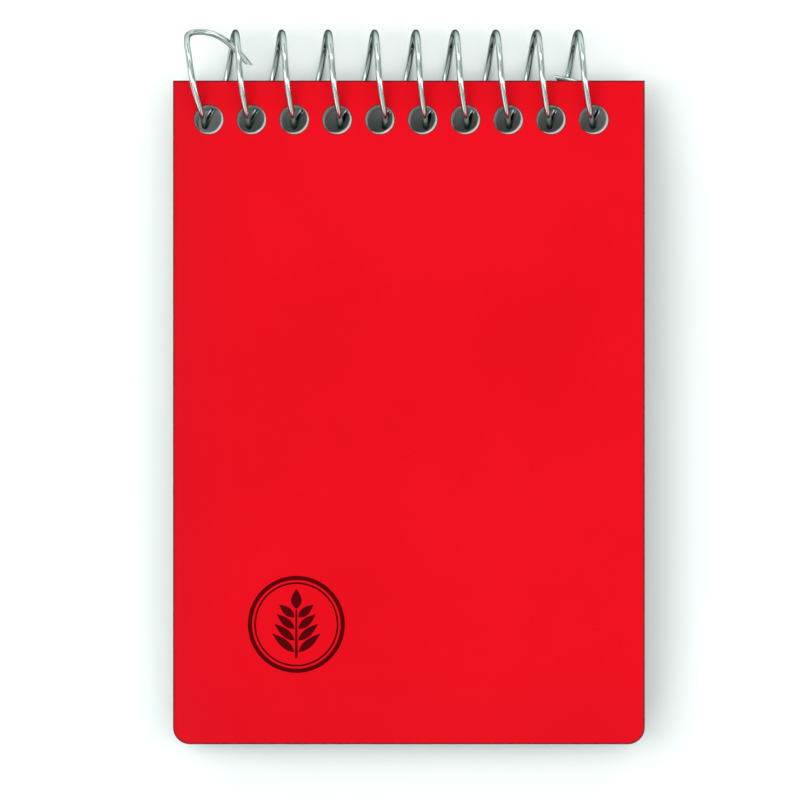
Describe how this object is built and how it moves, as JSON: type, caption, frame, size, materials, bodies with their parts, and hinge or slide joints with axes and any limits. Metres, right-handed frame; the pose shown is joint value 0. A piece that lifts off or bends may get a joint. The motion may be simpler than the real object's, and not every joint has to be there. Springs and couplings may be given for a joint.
{
  "type": "pocket notebook",
  "caption": "Top-bound pocket notepad: card covers and paper leaves that turn on one spiral wire coil.",
  "frame": {"origin": "below the middle of the whole object, level with the lowest point of the coil", "axes": "the pad lies on its back: +X to the right across the front cover, +Y towards the coil, +Z out of the front cover"},
  "size_m": [0.07, 0.1063, 0.0149],
  "materials": {
    "cover_card": "gloss film laminated",
    "back_board": "uncoated dark grey board",
    "paper": "uncoated, ruled",
    "wire": "bright nickel plate"
  },
  "bodies": {
    "pad": {"back_cover": "back_board", "wire_coil": "wire", "leaf_06": "paper", "leaf_07": "paper", "leaf_08": "paper", "leaf_09": "paper", "leaf_10": "paper", "leaf_11": "paper", "leaf_12": "paper", "leaf_13": "paper", "leaf_14": "paper", "leaf_15": "paper", "leaf_16": "paper", "leaf_17": "paper", "leaf_18": "paper", "leaf_19": "paper", "leaf_20": "paper", "leaf_21": "paper", "leaf_22": "paper", "leaf_23": "paper", "leaf_24": "paper", "leaf_25": "paper", "leaf_26": "paper", "leaf_27": "paper", "leaf_28": "paper", "leaf_29": "paper", "leaf_30": "paper", "leaf_31": "paper", "leaf_32": "paper", "leaf_33": "paper", "leaf_34": "paper", "leaf_35": "paper", "leaf_36": "paper", "leaf_37": "paper", "leaf_38": "paper", "leaf_39": "paper", "leaf_40": "paper", "leaf_41": "paper", "leaf_42": "paper", "leaf_43": "paper", "leaf_44": "paper", "leaf_45": "paper", "leaf_46": "paper", "leaf_47": "paper", "leaf_48": "paper", "leaf_49": "paper", "leaf_50": "paper"},
    "left_end": {"coil_left_end": "wire"},
    "front_cover": {"front_cover": "cover_card"},
    "leaf_01": {"leaf_01": "paper"},
    "leaf_02": {"leaf_02": "paper"},
    "leaf_03": {"leaf_03": "paper"},
    "leaf_04": {"leaf_04": "paper"},
    "leaf_05": {"leaf_05": "paper"}
  },
  "joints": [
    {"name": "side_step", "type": "slide", "parent": "pad", "child": "left_end", "axis": [-1, 0, 0], "range_m": [0, 0.00241], "deforming": ["coil_left_end"]},
    {"name": "cover_turn", "type": "hinge", "parent": "left_end", "child": "front_cover", "pos_m": [0, 0.04568, 0.00745], "axis": [-1, 0, 0], "range_deg": [0, 180]},
    {"name": "leaf_01_turn", "type": "hinge", "parent": "left_end", "child": "leaf_01", "pos_m": [0, 0.04568, 0.00745], "axis": [-1, 0, 0], "range_deg": [0, 167.2]},
    {"name": "leaf_02_turn", "type": "hinge", "parent": "left_end", "child": "leaf_02", "pos_m": [0, 0.04568, 0.00745], "axis": [-1, 0, 0], "range_deg": [0, 155.2]},
    {"name": "leaf_03_lift", "type": "hinge", "parent": "pad", "child": "leaf_03", "pos_m": [0, 0.04568, 0.00745], "axis": [-1, 0, 0], "range_deg": [0, 14.2]},
    {"name": "leaf_04_lift", "type": "hinge", "parent": "pad", "child": "leaf_04", "pos_m": [0, 0.04568, 0.00745], "axis": [-1, 0, 0], "range_deg": [0, 9.2]},
    {"name": "leaf_05_lift", "type": "hinge", "parent": "pad", "child": "leaf_05", "pos_m": [0, 0.04568, 0.00745], "axis": [-1, 0, 0], "range_deg": [0, 4.2]}
  ],
  "couplings": [
    {"joint": "side_step", "follows": "cover_turn", "m_per_rad": 0.00076394},
    {"joint": "leaf_01_turn", "follows": "cover_turn", "ratio": 0.92778},
    {"joint": "leaf_02_turn", "follows": "cover_turn", "ratio": 0.86111},
    {"joint": "leaf_03_lift", "follows": "cover_turn", "ratio": 0.077778},
    {"joint": "leaf_04_lift", "follows": "cover_turn", "ratio": 0.05},
    {"joint": "leaf_05_lift", "follows": "cover_turn", "ratio": 0.022222}
  ]
}
